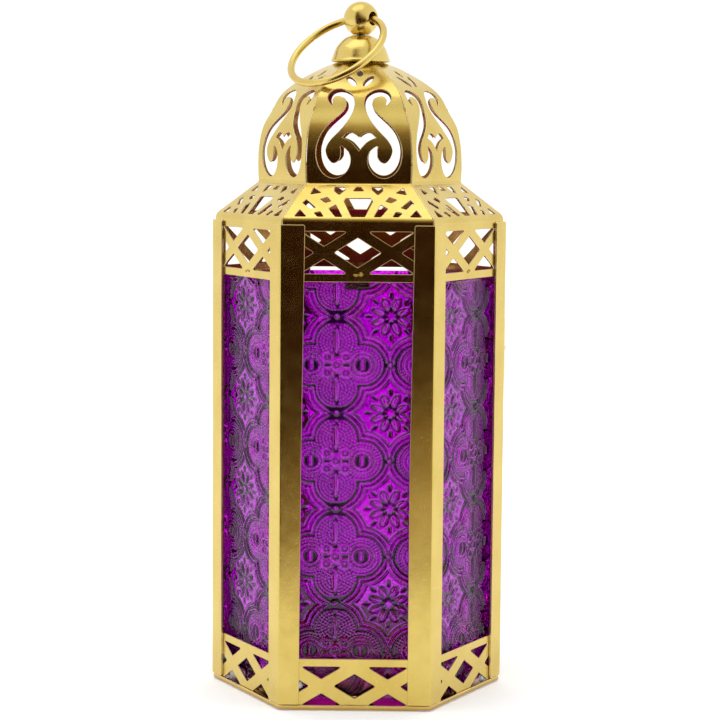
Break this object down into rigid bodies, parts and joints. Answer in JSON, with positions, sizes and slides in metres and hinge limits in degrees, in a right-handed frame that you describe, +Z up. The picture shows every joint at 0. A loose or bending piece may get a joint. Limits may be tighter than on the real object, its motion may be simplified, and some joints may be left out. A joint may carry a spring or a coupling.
{
  "type": "candle lantern",
  "caption": "Six-sided hanging candle lantern with pressed glass panes, a hinged glass door, a pierced dome and a loose ring on a ball finial.",
  "frame": {"origin": "centre of the underside of the base tray, on the surface the lantern stands on", "axes": "+Z up along the lantern's axis; the front side faces -Y; a corner post points along +X"},
  "size_m": [0.1024, 0.0886, 0.2372],
  "materials": {
    "gold_sheet": "satin gold with a fine grain",
    "gold_fittings": "satin gold",
    "gold_wire": "smooth bright gold",
    "steel": "plain",
    "violet_glass": "pressed relief, clear violet"
  },
  "bodies": {
    "lantern": {"base_tray": "gold_sheet", "corner_post_right": "gold_sheet", "corner_post_rear_right": "gold_sheet", "corner_post_rear_left": "gold_sheet", "corner_post_left": "gold_sheet", "corner_post_front_left": "gold_sheet", "corner_post_front_right": "gold_sheet", "roof_panel_front": "gold_sheet", "roof_panel_front_right": "gold_sheet", "roof_panel_rear_right": "gold_sheet", "roof_panel_rear": "gold_sheet", "roof_panel_rear_left": "gold_sheet", "roof_panel_front_left": "gold_sheet", "glass_pane_front": "violet_glass", "glass_clip_low_front": "gold_fittings", "glass_clip_high_front": "gold_fittings", "glass_pane_front_right": "violet_glass", "glass_clip_low_front_right": "gold_fittings", "glass_clip_high_front_right": "gold_fittings", "glass_pane_rear": "violet_glass", "glass_clip_low_rear": "gold_fittings", "glass_clip_high_rear": "gold_fittings", "glass_pane_rear_left": "violet_glass", "glass_clip_low_rear_left": "gold_fittings", "glass_clip_high_rear_left": "gold_fittings", "glass_pane_front_left": "violet_glass", "glass_clip_low_front_left": "gold_fittings", "glass_clip_high_front_left": "gold_fittings", "hinge_leaf_post_low": "gold_fittings", "hinge_leaf_post_high": "gold_fittings", "hinge_pin_low": "steel", "hinge_pin_high": "steel", "latch_rivet": "steel", "latch_washer": "gold_fittings", "crown_cap": "gold_sheet", "finial_ball": "gold_sheet", "finial_screw": "steel", "crown_washer": "steel", "crown_nut": "steel"},
    "door": {"door_frame": "gold_sheet", "door_glass": "violet_glass", "door_tab_hinge_side_low": "gold_fittings", "door_tab_hinge_side_high": "gold_fittings", "door_tab_latch_side_low": "gold_fittings", "door_tab_latch_side_high": "gold_fittings", "hinge_leaf_door_low": "gold_fittings", "hinge_leaf_door_high": "gold_fittings"},
    "turn_button": {"turn_button": "gold_fittings"},
    "ring": {"hanging_ring": "gold_wire"}
  },
  "joints": [
    {"name": "door_hinge", "type": "hinge", "parent": "lantern", "child": "door", "pos_m": [0.02922, 0.04112, 0.0805], "axis": [0, 0, 1], "range_deg": [0, 170]},
    {"name": "turn_button_pivot", "type": "hinge", "parent": "lantern", "child": "turn_button", "pos_m": [0.05025, 0.0043, 0.118], "axis": [0.866, 0.5, 0], "range_deg": [-90, 90]},
    {"name": "ring_swing", "type": "hinge", "parent": "lantern", "child": "ring", "pos_m": [0, 0, 0.23125], "axis": [-0.7771, 0.6293, 0], "range_deg": [0, 262]}
  ]
}
